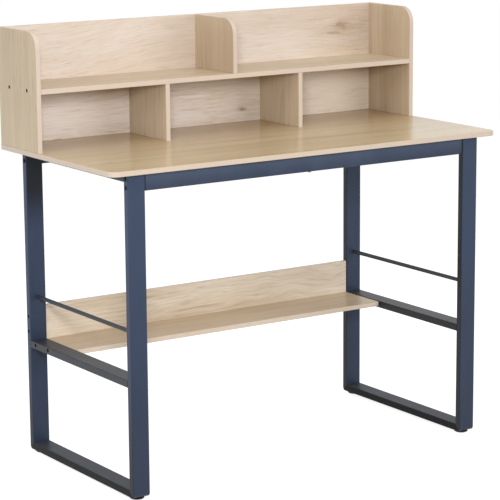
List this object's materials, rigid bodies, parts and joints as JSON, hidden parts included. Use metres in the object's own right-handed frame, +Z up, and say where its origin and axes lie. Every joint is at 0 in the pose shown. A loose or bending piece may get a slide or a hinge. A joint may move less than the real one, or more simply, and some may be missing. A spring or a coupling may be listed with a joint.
{
  "type": "computer desk",
  "caption": "Computer desk: wood-grain top with a low open hutch, on closed flat-tube side frames, with a lower rear shelf and guard bars.",
  "frame": {"origin": "on the floor, under the middle of the desk top", "axes": "+X to the sitter's right along the top, +Y to the hutch at the rear, +Z up"},
  "size_m": [1.1, 0.525, 1.05],
  "materials": {
    "oak_laminate": "satin oak-look laminate",
    "frame_coat": "dark blue-grey satin powder coat",
    "fixing_steel": "dark zinc",
    "dowel_wood": "raw beech",
    "glide_plastic": "moulded"
  },
  "bodies": {
    "desk": {"desk_top": "oak_laminate", "hutch_left_panel": "oak_laminate", "hutch_right_panel": "oak_laminate", "hutch_back_panel": "oak_laminate", "hutch_shelf": "oak_laminate", "hutch_lower_divider_left": "oak_laminate", "hutch_lower_divider_right": "oak_laminate", "hutch_upper_divider": "oak_laminate", "lower_shelf": "oak_laminate", "lower_shelf_back_board": "oak_laminate", "left_front_leg": "frame_coat", "left_rear_leg": "frame_coat", "left_foot_rail": "frame_coat", "left_top_rail": "frame_coat", "left_mid_rail": "frame_coat", "left_guard_bar": "frame_coat", "right_front_leg": "frame_coat", "right_rear_leg": "frame_coat", "right_foot_rail": "frame_coat", "right_top_rail": "frame_coat", "right_mid_rail": "frame_coat", "right_guard_bar": "frame_coat", "front_beam": "frame_coat", "rear_beam": "frame_coat", "beam_end_plates": "frame_coat", "frame_bolts": "fixing_steel", "lower_shelf_screws": "fixing_steel", "back_board_screws": "fixing_steel", "top_fixing_screws": "fixing_steel", "hutch_shelf_screws": "fixing_steel", "hutch_base_screws": "fixing_steel", "hutch_back_screws": "fixing_steel", "glide_inserts": "fixing_steel", "divider_dowels": "dowel_wood", "back_panel_dowels": "dowel_wood"},
    "front_left_foot": {"glide_front_left": "glide_plastic"},
    "front_right_foot": {"glide_front_right": "glide_plastic"},
    "rear_left_foot": {"glide_rear_left": "glide_plastic"},
    "rear_right_foot": {"glide_rear_right": "glide_plastic"}
  },
  "joints": [
    {"name": "glide_front_left_turn", "type": "hinge", "parent": "desk", "child": "front_left_foot", "pos_m": [-0.4775, -0.2255, 0.005], "axis": [0, 0, -1], "range_deg": [0, 1800]},
    {"name": "glide_front_right_turn", "type": "hinge", "parent": "desk", "child": "front_right_foot", "pos_m": [0.4775, -0.2255, 0.005], "axis": [0, 0, -1], "range_deg": [0, 1800]},
    {"name": "glide_rear_left_turn", "type": "hinge", "parent": "desk", "child": "rear_left_foot", "pos_m": [-0.4775, 0.2305, 0.005], "axis": [0, 0, -1], "range_deg": [0, 1800]},
    {"name": "glide_rear_right_turn", "type": "hinge", "parent": "desk", "child": "rear_right_foot", "pos_m": [0.4775, 0.2305, 0.005], "axis": [0, 0, -1], "range_deg": [0, 1800]}
  ]
}
